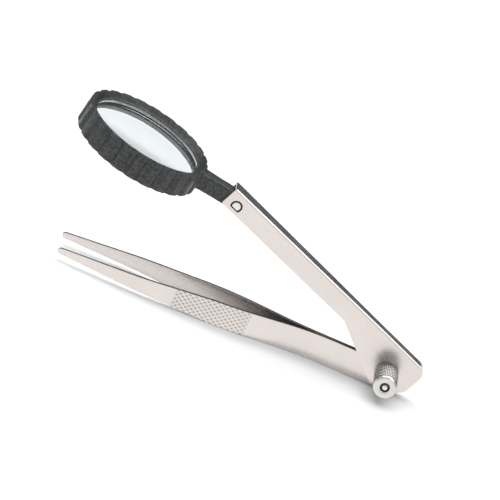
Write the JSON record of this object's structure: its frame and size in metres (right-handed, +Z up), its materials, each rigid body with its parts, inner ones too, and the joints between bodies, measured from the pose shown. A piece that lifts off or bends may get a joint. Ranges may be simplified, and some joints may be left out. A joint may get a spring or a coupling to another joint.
{
  "type": "stamp tongs with magnifier",
  "caption": "Spring steel stamp tongs with a round magnifier on a folding channel arm, held by a knurled thumb nut.",
  "frame": {"origin": "bottom centre of the bounding box, on the surface that the blades' lower edges stand on", "axes": "+X along the tongs from the tips to the pivot, -Y the thumb nut's side, +Z up"},
  "size_m": [0.138, 0.0446, 0.0545],
  "materials": {
    "blade_steel": "brushed stainless steel",
    "arm_steel": "brushed stainless steel",
    "nut_steel": "knurled and plated",
    "bolt_steel": "turned steel",
    "washer_steel": "rolled steel",
    "friction_disc": "vulcanised fibre",
    "black_plastic": "moulded, fine grain",
    "snap_steel": "bright wire",
    "gasket_rubber": "smooth",
    "lens_glass": "polished"
  },
  "bodies": {
    "tongs": {"near_heel": "blade_steel", "far_heel": "blade_steel", "pivot_bolt": "bolt_steel", "near_washer": "washer_steel", "spring_washer": "washer_steel", "far_washer": "washer_steel", "near_friction_washer": "friction_disc", "far_friction_washer": "friction_disc"},
    "near_jaw": {"near_blade": "blade_steel"},
    "far_jaw": {"far_blade": "blade_steel"},
    "nut": {"thumb_nut": "nut_steel"},
    "arm": {"arm_channel": "arm_steel", "tilt_rivet": "bolt_steel"},
    "loupe": {"lens_housing": "black_plastic", "front_ring": "black_plastic", "snap_ring": "snap_steel", "lens_gasket": "gasket_rubber", "lens": "lens_glass"}
  },
  "joints": [
    {"name": "near_squeeze", "type": "hinge", "parent": "tongs", "child": "near_jaw", "pos_m": [0.03101, -0.00088, 0.0047], "axis": [0, 0, -1], "range_deg": [0, 4], "stiffness_Nm_per_rad": 1.4},
    {"name": "far_squeeze", "type": "hinge", "parent": "tongs", "child": "far_jaw", "pos_m": [0.03101, 0.00088, 0.0047], "axis": [0, 0, 1], "range_deg": [0, 4], "stiffness_Nm_per_rad": 1.4},
    {"name": "arm_fold", "type": "hinge", "parent": "tongs", "child": "arm", "pos_m": [0.05801, 0, 0.0066], "axis": [0, 1, 0], "range_deg": [-12, 140]},
    {"name": "lens_tilt", "type": "hinge", "parent": "arm", "child": "loupe", "pos_m": [-0.01034, 0, 0.04029], "axis": [0, -1, 0], "range_deg": [-8, 16]},
    {"name": "nut_turn", "type": "hinge", "parent": "tongs", "child": "nut", "pos_m": [0.05801, -0.008, 0.0066], "axis": [0, 1, 0], "range_deg": [-20, 360]}
  ],
  "couplings": [
    {"joint": "far_squeeze", "follows": "near_squeeze", "ratio": 1}
  ]
}
